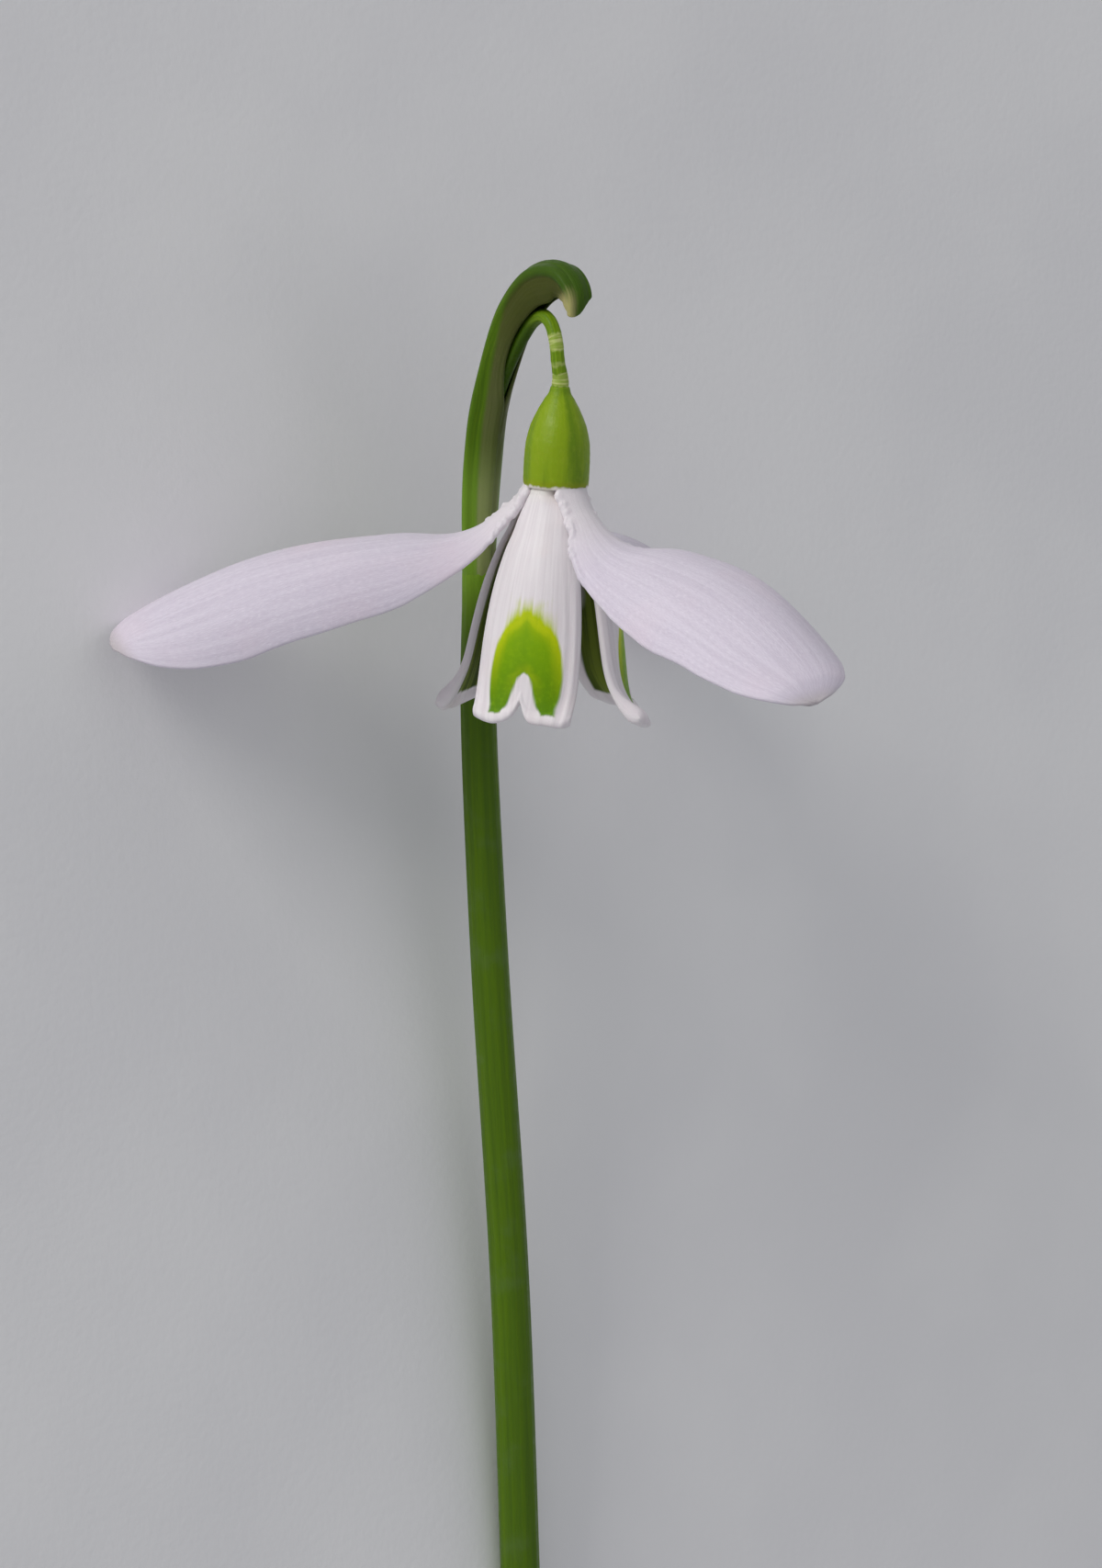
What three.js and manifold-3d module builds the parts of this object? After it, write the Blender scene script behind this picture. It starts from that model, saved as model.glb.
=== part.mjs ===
// A single picked snowdrop lying on a table. It rests on two of its outer tepals and on the lower end of its stem.
// Lengths are in millimetres. The flower is modelled upright, as it grew, in the plant frame: +Y is up the stem,
// +Z faces the side that the front inner tepal turns to, and the origin is where the petals leave the ovary.
// The plant group then lays it down, so that +Z is up from the table and +Y runs up the stem.
import * as THREE from "three";
import { mergeVertices } from "three/addons/utils/BufferGeometryUtils.js";
import Module from "manifold-3d";

const wasm = await Module();
wasm.setup();
const { degToRad, lerp, smoothstep } = THREE.MathUtils;

// How the flower lies
const UPWARD_AZIMUTH = degToRad(40); // this side of the flower is up when it lies down
const ARCH_AZIMUTH = degToRad(38); // the stem's hook bends towards this azimuth
const STEM_RISE = degToRad(5); // the flower end of the stem is lifted by this angle
const REST_HEIGHT = 17.9; // the petals' origin above the table
const FLOWER_LEAN = degToRad(-2.6); // the hanging flower leans a little in its own front plane

// Sizes
const SEAT_GAP = 0.15; // clearance left where one piece sits on another
const BLADE = 0.6; // thickness of every petal and of the spathe
const CLAW_RADIUS = 1.88; // of the ring that the feet of the outer tepals stand on
const OVARY_LENGTH = 6.8;
const OVARY_RADIUS = 2.25;
const SCAPE_TOP_RADIUS = 1.2;
const SCAPE_CUT_RADIUS = 1.42;
const SPATHE_BASE = -7; // height at which the spathe and the pedicel leave the scape
const PEDICEL_RADIUS = 0.47;
const STEM_OFFSET = 8.6; // from the hanging flower's axis to the scape

// Azimuths are turned from +Z towards +X. An outer tepal's foot is turned away from its own azimuth by foot. It is
// rolled about its own length and twisted back towards its tip. Its reach is measured level from its foot to its tip,
// tipFall lowers the tip and hook bends it in. claw, width and arch are shares of the usual size, and skew makes one
// side of the blade fuller than the other.
const OUTER_TEPALS = [
  {
    name: "outer_tepal_left",
    azimuth: degToRad(-79),
    foot: degToRad(-14),
    claw: 0.88,
    roll: degToRad(22),
    twist: 0,
    reach: 28.3,
    width: 1,
    skew: 0,
    arch: 1,
    tipFall: 0,
    hook: 0.3,
  },
  {
    name: "outer_tepal_right",
    azimuth: degToRad(40),
    foot: 0,
    claw: 1.1,
    roll: degToRad(-28),
    twist: degToRad(15.5),
    reach: 25.6,
    width: 0.975,
    skew: 0.12,
    arch: 1.22,
    tipFall: -1.05,
    hook: 0.8,
  },
  {
    name: "outer_tepal_back",
    azimuth: degToRad(160),
    foot: 0,
    claw: 1,
    roll: degToRad(-10),
    twist: 0,
    reach: 28,
    width: 0.97,
    skew: 0,
    arch: 1.05,
    tipFall: 1.4,
    hook: 0.3,
  },
];
// An inner tepal leans out from its foot. The corners of its end turn out by its lip and hang lower by its drop, and
// spread widens one side of it.
const INNER_TEPALS = [
  { name: "inner_tepal_front", azimuth: degToRad(-18), lean: 0, lip: 0.5, drop: -0.3, spread: 0 },
  { name: "inner_tepal_right", azimuth: degToRad(92), lean: degToRad(-0.5), lip: 2.3, drop: 0.25, spread: 0.6 },
  { name: "inner_tepal_left", azimuth: degToRad(217), lean: degToRad(3), lip: 1.9, drop: 0.9, spread: 0 },
];
const STAMEN_COUNT = 6;

const materials = {
  tepal: new THREE.MeshStandardMaterial({ color: 0xe9e4ec, roughness: 0.55, metalness: 0 }),
  innerTepal: new THREE.MeshStandardMaterial({ color: 0xe6ebd8, roughness: 0.55, metalness: 0 }),
  scape: new THREE.MeshStandardMaterial({ color: 0x5c8420, roughness: 0.5, metalness: 0 }),
  spathe: new THREE.MeshStandardMaterial({ color: 0x6f8a48, roughness: 0.5, metalness: 0 }),
  ovary: new THREE.MeshStandardMaterial({ color: 0x7fa014, roughness: 0.4, metalness: 0 }),
  anther: new THREE.MeshStandardMaterial({ color: 0xe0931f, roughness: 0.6, metalness: 0 }),
  style: new THREE.MeshStandardMaterial({ color: 0xe8ecd4, roughness: 0.5, metalness: 0 }),
};

// A smooth function through [position, value] knots, with no overshoot between them.
function through(knots) {
  const slope = (i) => (knots[i + 1][1] - knots[i][1]) / (knots[i + 1][0] - knots[i][0]);
  const tangent = (i) => {
    if (i === 0) return slope(0);
    if (i === knots.length - 1) return slope(i - 1);
    const [before, after] = [slope(i - 1), slope(i)];
    return before * after <= 0 ? 0 : (2 * before * after) / (before + after);
  };
  return (x) => {
    let i = knots.findIndex((k) => x <= k[0]) - 1;
    if (i === -2) return knots.at(-1)[1];
    i = Math.max(i, 0);
    const width = knots[i + 1][0] - knots[i][0];
    const t = THREE.MathUtils.clamp((x - knots[i][0]) / width, 0, 1);
    const [a, b] = [knots[i][1], knots[i + 1][1]];
    const [ma, mb] = [tangent(i) * width, tangent(i + 1) * width];
    return (
      (2 * t ** 3 - 3 * t ** 2 + 1) * a +
      (t ** 3 - 2 * t ** 2 + t) * ma +
      (3 * t ** 2 - 2 * t ** 3) * b +
      (t ** 3 - t ** 2) * mb
    );
  };
}

const bell = (x, width) => Math.exp(-((x / width) ** 2));

// A unit direction level with the table of the upright plant, at an azimuth.
const level = (azimuth) => new THREE.Vector3(Math.sin(azimuth), 0, Math.cos(azimuth));
const UP = new THREE.Vector3(0, 1, 0);

function geometryOf(positions, index) {
  const geometry = new THREE.BufferGeometry();
  geometry.setAttribute("position", new THREE.Float32BufferAttribute(positions, 3));
  geometry.setIndex(index);
  return geometry;
}

// A closed blade of even thickness about surface(s, u), where s runs from 0 to 1 along it and u from -1 to 1 across it.
// Both faces are split into triangles alike. The end rows can be closer together, by the easing of s.
function bladeGeometry(rows, columns, surface, thickness = BLADE, easing = (s) => s) {
  const step = 1e-3;
  const point = (s, u, side) => {
    const along = surface(Math.min(s + step, 1), u).sub(surface(Math.max(s - step, 0), u));
    const across = surface(s, Math.min(u + step, 1)).sub(surface(s, Math.max(u - step, -1)));
    return surface(s, u).addScaledVector(across.cross(along).normalize(), side * thickness);
  };
  const positions = [];
  for (const side of [0.5, -0.5])
    for (let i = 0; i <= rows; i++)
      for (let j = 0; j <= columns; j++)
        positions.push(...point(easing(i / rows), (2 * j) / columns - 1, side).toArray());
  const face = (rows + 1) * (columns + 1);
  const at = (layer, i, j) => layer * face + i * (columns + 1) + j;
  const index = [];
  const quad = (a, b, c, d) => index.push(a, b, c, a, c, d);
  for (let i = 0; i < rows; i++)
    for (let j = 0; j < columns; j++) {
      const [a, b, c, d] = [at(0, i, j), at(0, i, j + 1), at(0, i + 1, j + 1), at(0, i + 1, j)];
      quad(a, b, c, d);
      index.push(a + face, c + face, b + face, a + face, d + face, c + face);
    }
  for (let i = 0; i < rows; i++) {
    quad(at(0, i, 0), at(0, i + 1, 0), at(1, i + 1, 0), at(1, i, 0));
    quad(at(0, i + 1, columns), at(0, i, columns), at(1, i, columns), at(1, i + 1, columns));
  }
  for (let j = 0; j < columns; j++) {
    quad(at(0, 0, j + 1), at(0, 0, j), at(1, 0, j), at(1, 0, j + 1));
    quad(at(0, rows, j), at(0, rows, j + 1), at(1, rows, j + 1), at(1, rows, j));
  }
  return geometryOf(positions, index);
}

// A closed round rod along a curve, with a flat of its section towards `down`, and radius(t) along it.
function rodGeometry(curve, steps, sides, radius, down) {
  const positions = [];
  for (let i = 0; i <= steps; i++) {
    const t = i / steps;
    const centre = curve.getPointAt(t);
    const tangent = curve.getTangentAt(t);
    const beside = new THREE.Vector3().crossVectors(tangent, down).normalize();
    const below = new THREE.Vector3().crossVectors(beside, tangent);
    for (let j = 0; j < sides; j++) {
      const angle = (2 * Math.PI * (j + 0.5)) / sides;
      const point = centre.clone();
      point.addScaledVector(below, radius(t) * Math.cos(angle));
      point.addScaledVector(beside, radius(t) * Math.sin(angle));
      positions.push(...point.toArray());
    }
  }
  const first = positions.length / 3;
  positions.push(...curve.getPointAt(0).toArray(), ...curve.getPointAt(1).toArray());
  const index = [];
  for (let j = 0; j < sides; j++) {
    const next = (j + 1) % sides;
    for (let i = 0; i < steps; i++) {
      const [a, b] = [i * sides + j, i * sides + next];
      index.push(a, b, b + sides, a, b + sides, a + sides);
    }
    index.push(first, next, j, first + 1, steps * sides + j, steps * sides + next);
  }
  return geometryOf(positions, index);
}

function named(name, geometry, material) {
  const mesh = new THREE.Mesh(geometry, material);
  mesh.name = name;
  return mesh;
}

// Laying the flower down: the table's normal and the stem's direction on it, seen from the plant frame
const tableNormal = level(UPWARD_AZIMUTH)
  .multiplyScalar(Math.cos(STEM_RISE))
  .addScaledVector(UP, Math.sin(STEM_RISE));
const alongTable = UP.clone().addScaledVector(tableNormal, -UP.dot(tableNormal)).normalize();
const acrossTable = new THREE.Vector3().crossVectors(alongTable, tableNormal);

// A point of the upright plant that lies at a given height above the table when the flower is laid down.
function overTable(x, y, height) {
  const rest = height - REST_HEIGHT - tableNormal.x * x - tableNormal.y * y;
  return new THREE.Vector3(x, y, rest / tableNormal.z);
}

// A point in the plane of the stem's hook: q from the scape towards the flower, y up the plant.
const stemFoot = level(ARCH_AZIMUTH).multiplyScalar(-STEM_OFFSET);
const inArch = ([q, y]) => stemFoot.clone().addScaledVector(level(ARCH_AZIMUTH), q).setY(y);
const archCurve = (points) => new THREE.CatmullRomCurve3(points.map(inArch), false, "centripetal");

// Stem: the scape, from its cut end to the spathe
function scape() {
  const top = inArch([0, SPATHE_BASE - SEAT_GAP]);
  const lying = [
    [-1.7, -104],
    [-2.1, -93],
    [-2.5, -81],
  ];
  const points = lying.map(([x, y]) => overTable(x, y, 0.95 * SCAPE_CUT_RADIUS));
  points.push(overTable(-3.3, -58, 2.8), overTable(-4.7, -34, 5), overTable(-5.4, -16, 7.2), top);
  const curve = new THREE.CatmullRomCurve3(points, false, "centripetal");
  const radius = through([
    [0, SCAPE_CUT_RADIUS],
    [0.27, SCAPE_CUT_RADIUS],
    [1, SCAPE_TOP_RADIUS],
  ]);
  return named("scape", rodGeometry(curve, 26, 12, radius, tableNormal.clone().negate()), materials.scape);
}

// Spathe: the folded sheath round the pedicel, slit along the inside of the hook, with a keel on either side
function spathe() {
  const curve = archCurve([
    [0, SPATHE_BASE],
    [0.1, -2.6],
    [0.5, 1.2],
    [1.15, 4.6],
    [2.65, 8.4],
    [4.9, 12],
    [7.3, 13.95],
    [9.5, 14.2],
    [10.7, 13.2],
    [10.8, 12.05],
  ]);
  const halfWidth = through([
    [0, 1.2],
    [0.3, 1.45],
    [0.75, 1.4],
    [0.92, 1.15],
    [1, 0.8],
  ]);
  const backDepth = through([
    [0, 1.2],
    [0.4, 1.5],
    [0.78, 1.5],
    [0.93, 1.1],
    [1, 0.8],
  ]);
  const slitDepth = through([
    [0, 1.2],
    [0.45, 1.5],
    [0.6, 1.7],
    [0.74, 2.6],
    [0.84, 2.9],
    [0.93, 1.7],
    [1, 0.9],
  ]);
  const reach = through([
    [0, 165],
    [0.3, 150],
    [0.5, 128],
    [0.8, 128],
    [1, 140],
  ]);
  const keelAngle = through([
    [0, 90],
    [0.5, 88],
    [0.7, 64],
    [1, 60],
  ]);
  const keelHeight = 0.16;
  const keelSpread = 17; // degrees
  const notchDepth = 0.03;
  const notchWidth = 0.3;
  const side = new THREE.Vector3().crossVectors(level(ARCH_AZIMUTH), UP);
  const surface = (s, u) => {
    const t = s - notchDepth * s ** 12 * bell(u, notchWidth);
    const outward = new THREE.Vector3().crossVectors(side, curve.getTangentAt(t)).normalize();
    const turned = Math.abs(u) * reach(t);
    const angle = Math.sign(u) * degToRad(turned);
    const depth = turned < 90 ? backDepth(t) : slitDepth(t);
    const width = halfWidth(t) + keelHeight * bell(turned - keelAngle(t), keelSpread);
    return curve
      .getPointAt(t)
      .addScaledVector(outward, (depth - BLADE / 2) * Math.cos(angle))
      .addScaledVector(side, (width - BLADE / 2) * Math.sin(angle));
  };
  return named("spathe", bladeGeometry(24, 16, surface), materials.spathe);
}

// Pedicel: the thread that the flower hangs on
function pedicel() {
  const curve = archCurve([
    [0, SPATHE_BASE],
    [0.15, -2.6],
    [0.6, 1.2],
    [1.5, 4.2],
    [2.4, 6.2],
    [3.6, 8.2],
    [5.1, 10.1],
    [6.2, 11.15],
    [7.25, 11.55],
    [8.1, 11.1],
    [8.65, 9.95],
    [STEM_OFFSET + 0.27, 8.6],
    [STEM_OFFSET + 0.3, OVARY_LENGTH + SEAT_GAP],
  ]);
  const radius = through([
    [0, PEDICEL_RADIUS],
    [0.85, PEDICEL_RADIUS],
    [1, 0.62],
  ]);
  return named("pedicel", rodGeometry(curve, 30, 8, radius, level(ARCH_AZIMUTH + Math.PI / 2)), materials.scape);
}

// Ovary: the green pear above the petals
function ovary() {
  const profile = [
    [0, 0],
    [0.95, 0],
    [0.99, 0.03],
    [1, 0.21],
    [0.98, 0.4],
    [0.88, 0.58],
    [0.66, 0.76],
    [0.46, 0.88],
    [0.33, 0.95],
    [0.29, 1],
    [0, 1],
  ].map(([r, y]) => new THREE.Vector2(r * OVARY_RADIUS, y * OVARY_LENGTH));
  return named("ovary", new THREE.LatheGeometry(profile, 24), materials.ovary);
}

// Outer tepals: a narrow claw that opens into a long, deeply arched blade
const outerMidline = new THREE.CatmullRomCurve3(
  [
    [0, 0],
    [0.008, -0.5],
    [0.05, -1.6],
    [0.11, -2.9],
    [0.18, -3.7],
    [0.32, -4.1],
    [0.5, -4.9],
    [0.66, -6.2],
    [0.83, -8.3],
    [0.94, -10],
    [1, -11.1],
  ].map(([away, up]) => new THREE.Vector3(away * OUTER_TEPALS[0].reach, up, 0)),
  false,
  "centripetal",
);
const outerHalfWidth = through([
  [0, 1.2],
  [0.08, 1.35],
  [0.17, 2.7],
  [0.28, 4.3],
  [0.42, 5.5],
  [0.58, 6.1],
  [0.72, 6.1],
  [0.84, 5.4],
  [0.93, 3.9],
  [0.98, 1.9],
  [1, 0.35],
]);
const outerArchRadius = through([
  [0, 1.86],
  [0.1, 2.2],
  [0.3, 4.6],
  [0.55, 5.4],
  [0.85, 5],
  [1, 4],
]);

function outerTepal({ name, azimuth, foot, claw, roll, twist, reach, width, skew, arch, tipFall, hook }) {
  // Places along the blade, as shares of its length
  const clawNarrow = 0.08;
  const clawEnd = 0.24;
  const bladeStart = 0.3;
  const skewMiddle = 0.82;
  const skewSpread = 0.22;
  const hookStart = 0.93;
  const away = level(azimuth);
  const surface = (s, u) => {
    const { x, y } = outerMidline.getPointAt(s);
    const tangent = outerMidline.getTangentAt(s);
    const outward = away.clone().multiplyScalar(-tangent.y).addScaledVector(UP, tangent.x);
    const turnedFoot = azimuth + foot * (1 - smoothstep(s, 0, clawEnd));
    const pastClaw = smoothstep(s, 0, bladeStart);
    const inClaw = 1 - smoothstep(s, clawNarrow, clawEnd);
    const fuller = 1 + skew * bell(s - skewMiddle, skewSpread) * u;
    const halfWidth = outerHalfWidth(s) * lerp(1, width, pastClaw) * lerp(1, claw, inClaw) * fuller;
    const radius = outerArchRadius(s) * lerp(1, arch, pastClaw);
    const turn = roll * smoothstep(s, 0.02, bladeStart) + twist * smoothstep(s, bladeStart, 1);
    const angle = (u * halfWidth) / radius + turn;
    const raised = radius * (Math.cos(angle) - Math.cos(turn)) - hook * smoothstep(s, hookStart, 1);
    return level(turnedFoot)
      .multiplyScalar(CLAW_RADIUS)
      .addScaledVector(away, (x * reach) / OUTER_TEPALS[0].reach)
      .addScaledVector(UP, y - SEAT_GAP - tipFall * s ** 2)
      .addScaledVector(level(turnedFoot + Math.PI / 2), radius * (Math.sin(angle) - Math.sin(turn)))
      .addScaledVector(outward, raised);
  };
  const closerAtEnds = (s) => s - (0.5 * Math.sin(2 * Math.PI * s)) / (2 * Math.PI);
  return named(name, bladeGeometry(24, 12, surface, BLADE, closerAtEnds), materials.tepal);
}

// Inner tepals: short, cupped, notched at the end, with a lip that turns out
const innerRadius = through([
  [0, 1.16],
  [0.5, 1.21],
  [1, 1.4],
  [1.6, 1.8],
  [2.3, 2.3],
  [3, 2.8],
  [4.4, 3.6],
  [7, 4.4],
  [10, 5],
  [13, 5.45],
  [15.6, 5.9],
]);
const innerReach = through([
  [0, 32],
  [0.6, 36],
  [1.6, 48],
  [3.2, 54],
  [6, 53],
  [10, 50],
  [13, 46],
  [15.6, 37],
]);

function innerTepal({ name, azimuth, lean, lip, drop, spread }) {
  const length = 15.4;
  const notchDepth = 1.5;
  const notchWidth = 0.13;
  const cornerCut = 0.7;
  const spreadStart = 1; // distances down the petal between which it widens by its spread
  const spreadEnd = 5;
  const roll = 0.88; // radius of its own arch, as a share of its distance from the flower's axis
  const surface = (s, u) => {
    const edge = length - notchDepth * bell(u, notchWidth) - cornerCut * Math.abs(u) ** 8;
    const down = SEAT_GAP + s * (edge - SEAT_GAP);
    const corner = s ** 14 * smoothstep(Math.abs(u), 0, 0.9);
    const radius = innerRadius(down) + lip * corner;
    const wider = 1 + spread * smoothstep(down, spreadStart, spreadEnd) * smoothstep(u, 0, 1);
    const angle = azimuth + u * degToRad(innerReach(down)) * wider;
    return level(azimuth)
      .multiplyScalar(radius * (1 - roll) + Math.tan(lean) * down)
      .addScaledVector(level(angle), radius * roll)
      .setY(-down - drop * corner);
  };
  return named(name, bladeGeometry(18, 16, surface), materials.innerTepal);
}

// Stamens round the style: a short thread and a long pointed anther each
function stamen(number) {
  const azimuth = (2 * Math.PI * (number + 0.5)) / STAMEN_COUNT;
  const curve = new THREE.CatmullRomCurve3(
    [
      [0.55, -SEAT_GAP],
      [0.62, -0.8],
      [0.98, -2],
      [0.98, -4],
      [0.72, -6.2],
      [0.5, -7.8],
    ].map(([r, y]) => level(azimuth).multiplyScalar(r).setY(y)),
  );
  const radius = through([
    [0, 0.18],
    [0.12, 0.18],
    [0.22, 0.4],
    [0.5, 0.42],
    [0.8, 0.28],
    [1, 0.1],
  ]);
  return named(`stamen_${number + 1}`, rodGeometry(curve, 10, 6, radius, level(azimuth)), materials.anther);
}

function style() {
  const curve = new THREE.LineCurve3(new THREE.Vector3(0, -SEAT_GAP, 0), new THREE.Vector3(0, -9.2, 0));
  const radius = through([
    [0, 0.2],
    [0.7, 0.2],
    [1, 0.14],
  ]);
  return named("style", rodGeometry(curve, 4, 8, radius, level(0)), materials.style);
}

// Cuts a mesh flat where it would reach under the table, which leaves the small flat that it rests on.
function restOnTable(mesh) {
  const solid = solidOf(mesh.geometry.clone().applyMatrix4(mesh.matrixWorld));
  const size = 400;
  const underTable = new THREE.BoxGeometry(size, size, size).translate(0, 0, -size / 2);
  const { vertProperties, triVerts } = solid.subtract(solidOf(underTable)).getMesh();
  const cut = geometryOf(Array.from(vertProperties), Array.from(triVerts));
  mesh.geometry = cut.applyMatrix4(mesh.matrixWorld.clone().invert());
}

function solidOf(geometry) {
  const bare = geometry.clone();
  bare.deleteAttribute("normal");
  bare.deleteAttribute("uv");
  const merged = mergeVertices(bare);
  const mesh = new wasm.Mesh({
    numProp: 3,
    vertProperties: merged.attributes.position.array,
    triVerts: new Uint32Array(merged.index.array),
  });
  return new wasm.Manifold(mesh);
}

const outerTepals = OUTER_TEPALS.map(outerTepal);
const flower = new THREE.Group();
flower.rotation.z = FLOWER_LEAN;
flower.add(ovary(), ...outerTepals, ...INNER_TEPALS.map(innerTepal), style());
for (let number = 0; number < STAMEN_COUNT; number++) flower.add(stamen(number));

const stem = scape();
const plant = new THREE.Group();
plant.add(flower, stem, spathe(), pedicel());
plant.setRotationFromMatrix(new THREE.Matrix4().makeBasis(acrossTable, alongTable, tableNormal).transpose());
plant.position.z = REST_HEIGHT;

const snowdrop = new THREE.Group();
snowdrop.add(plant);
snowdrop.updateMatrixWorld(true);
[stem, ...outerTepals].forEach(restOnTable);

// The origin is on the table, at the middle of the flower's outline.
const middle = new THREE.Box3().setFromObject(snowdrop, true).getCenter(new THREE.Vector3());
plant.position.x = -middle.x;
plant.position.y = -middle.y;

export default snowdrop;
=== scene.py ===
"""A picked snowdrop on a pale table: the finished surfaces of every piece, the light and the camera.

Shapes are worked out in millimetres in the plant frame, in which the flower hangs as it grew: +Y is up the
stem, +Z is towards the camera, and the origin is where the petals leave the ovary. Azimuths are turned from
+Z towards +X. Each mesh is then laid on the table and written in metres.
"""

import math

import bpy
import numpy as np
from mathutils import Matrix


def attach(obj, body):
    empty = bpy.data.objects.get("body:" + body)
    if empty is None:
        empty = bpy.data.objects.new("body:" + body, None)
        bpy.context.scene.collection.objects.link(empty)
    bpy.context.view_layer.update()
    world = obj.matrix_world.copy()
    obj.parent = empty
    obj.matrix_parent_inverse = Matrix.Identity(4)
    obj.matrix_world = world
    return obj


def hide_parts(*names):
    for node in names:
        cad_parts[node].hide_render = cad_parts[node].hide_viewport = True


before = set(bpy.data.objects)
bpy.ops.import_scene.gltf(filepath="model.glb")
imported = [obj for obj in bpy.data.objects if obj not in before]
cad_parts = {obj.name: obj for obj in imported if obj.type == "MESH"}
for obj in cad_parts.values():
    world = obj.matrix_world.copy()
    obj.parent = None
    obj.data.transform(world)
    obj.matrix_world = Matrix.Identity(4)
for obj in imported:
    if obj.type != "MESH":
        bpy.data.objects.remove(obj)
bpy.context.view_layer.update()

MM = 0.001
UP = np.array([0.0, 1.0, 0.0])

# How the flower lies
UPWARD_AZIMUTH = math.radians(40)  # the side of the plant that faces away from the table
ARCH_AZIMUTH = math.radians(38)  # of the hook, from the scape to the flower
STEM_RISE = math.radians(5)  # of the plant's axis over the table
REST_HEIGHT = 17.9  # of the origin over the table
FLOWER_LEAN = math.radians(-2.6)  # of the hanging flower, seen from the front

# Sizes
SUNK = 0.25  # the petals' feet and the pedicel's end reach this far into the ovary
SEAT_GAP = 0.15  # the solids of the petals and the style start this far below the ovary
CLAW_RADIUS = 1.88  # from the flower's axis to the middle of a claw
OVARY_LENGTH = 6.8
OVARY_RADIUS = 2.25
SCAPE_TOP_RADIUS = 1.2
SCAPE_CUT_RADIUS = 1.42
SCAPE_LENGTH = 98  # along its bends
SPATHE_BASE = -7  # height of the sheath's foot
PEDICEL_RADIUS = 0.47
STEM_OFFSET = 8.6  # from the flower's axis to the scape's, under the hook
STYLE_END = 9.2  # how far the style reaches down
STAMEN_COUNT = 6

# The outer petals: angles in degrees, reach, fall and hook in millimetres, and the rest as shares
# azimuth, foot: where the blade points, and how far its foot stands off that
# claw, waist: width of the claw, and how much narrower the blade is just past it
# roll, claw_roll, twist: turns about its length of the whole blade, of the claw, and growing towards the tip
# reach, width, skew: how far out it reaches, its width, and how much wider one half is near the tip
# arch, fall, hook: its arch's radius, how far its tip drops, and how far the last stretch bends in
# rough_side, rough_end: the margin with most of the warts, and how far along the blade they go
OUTER_REACH = 28.3
OUTER_TEPALS = {
    "outer_tepal_left": dict(
        azimuth=-79, foot=-14, claw=0.88, waist=0.15, roll=22, claw_roll=12, rough_end=0.12
    ),
    "outer_tepal_right": dict(
        azimuth=40, claw=1.1, roll=-26.8, twist=13, reach=25.4, width=0.94, skew=0.11,
        arch=1.32, fall=-0.82, hook=0.55, rough_side=-1,
    ),
    "outer_tepal_back": dict(azimuth=160, roll=-10, reach=28, width=0.97, arch=1.05, fall=1.4),
}

# The inner petals: azimuth and lean in degrees, the gap in radians from the blade's middle, and the rest in
# millimetres, but spread as a share
# azimuth, lean: where the blade stands, and how far it leans out
# lip, drop, corner_cut, knob: how far the corners of its end curl out, hang down, are cut back and thicken
# spread: how much wider one half is
# gap, gap_flat, gap_width: where its foot bulges between two claws, half the bulge's flat top, and its flanks
INNER_TEPALS = {
    "inner_tepal_front": dict(
        azimuth=-18, lip=0.5, drop=0.15, corner_cut=0.25, knob=0.2, gap=-0.45, gap_flat=0.25, gap_width=0.4
    ),
    "inner_tepal_right": dict(
        azimuth=92, lean=-0.5, lip=2.3, drop=0.25, spread=0.6, corner_cut=0.7, knob=0.55,
        gap=0.17, gap_width=0.35,
    ),
    "inner_tepal_left": dict(
        azimuth=217, lean=3, lip=1.9, drop=0.9, corner_cut=0.7, knob=0.5, gap_width=0.34
    ),
}

# Camera, as the photograph was taken: the image is 1200 by 1707 pixels
IMAGE = (1200, 1707)
FOCAL = 6400  # pixels
DISTANCE = 400  # from the camera to the petals' foot, along the view
FOOT_PIXEL = (605, 530)
LOOKING_DOWN = math.radians(7)  # on the flower, at the petals' foot


# Functions of one number

def smoothstep(x, low, high):
    t = np.clip((x - low) / (high - low), 0, 1)
    return t * t * (3 - 2 * t)


def bell(x, width):
    return np.exp(-((x / width) ** 2))


def through(*knots):
    """A smooth function through (position, value) knots, with no overshoot between them."""
    at, value = np.array(knots, float).T
    slope = np.diff(value) / np.diff(at)
    turning = slope[:-1] * slope[1:] <= 0
    total = np.where(turning, 1, slope[:-1] + slope[1:])
    inner = np.where(turning, 0, 2 * slope[:-1] * slope[1:] / total)
    tangent = np.concatenate([slope[:1], inner, slope[-1:]])

    def function(x):
        i = np.clip(np.searchsorted(at, x) - 1, 0, len(at) - 2)
        width = at[i + 1] - at[i]
        t = np.clip((x - at[i]) / width, 0, 1)
        return (
            (2 * t**3 - 3 * t**2 + 1) * value[i]
            + (t**3 - 2 * t**2 + t) * tangent[i] * width
            + (3 * t**2 - 2 * t**3) * value[i + 1]
            + (t**3 - t**2) * tangent[i + 1] * width
        )

    return function


# Directions and curves

def unit(vectors):
    return vectors / np.linalg.norm(vectors, axis=-1, keepdims=True)


def level(azimuth):
    """The level direction, or directions, at an azimuth."""
    azimuth = np.asarray(azimuth, float)
    return np.stack([np.sin(azimuth), np.zeros_like(azimuth), np.cos(azimuth)], axis=-1)


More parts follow.
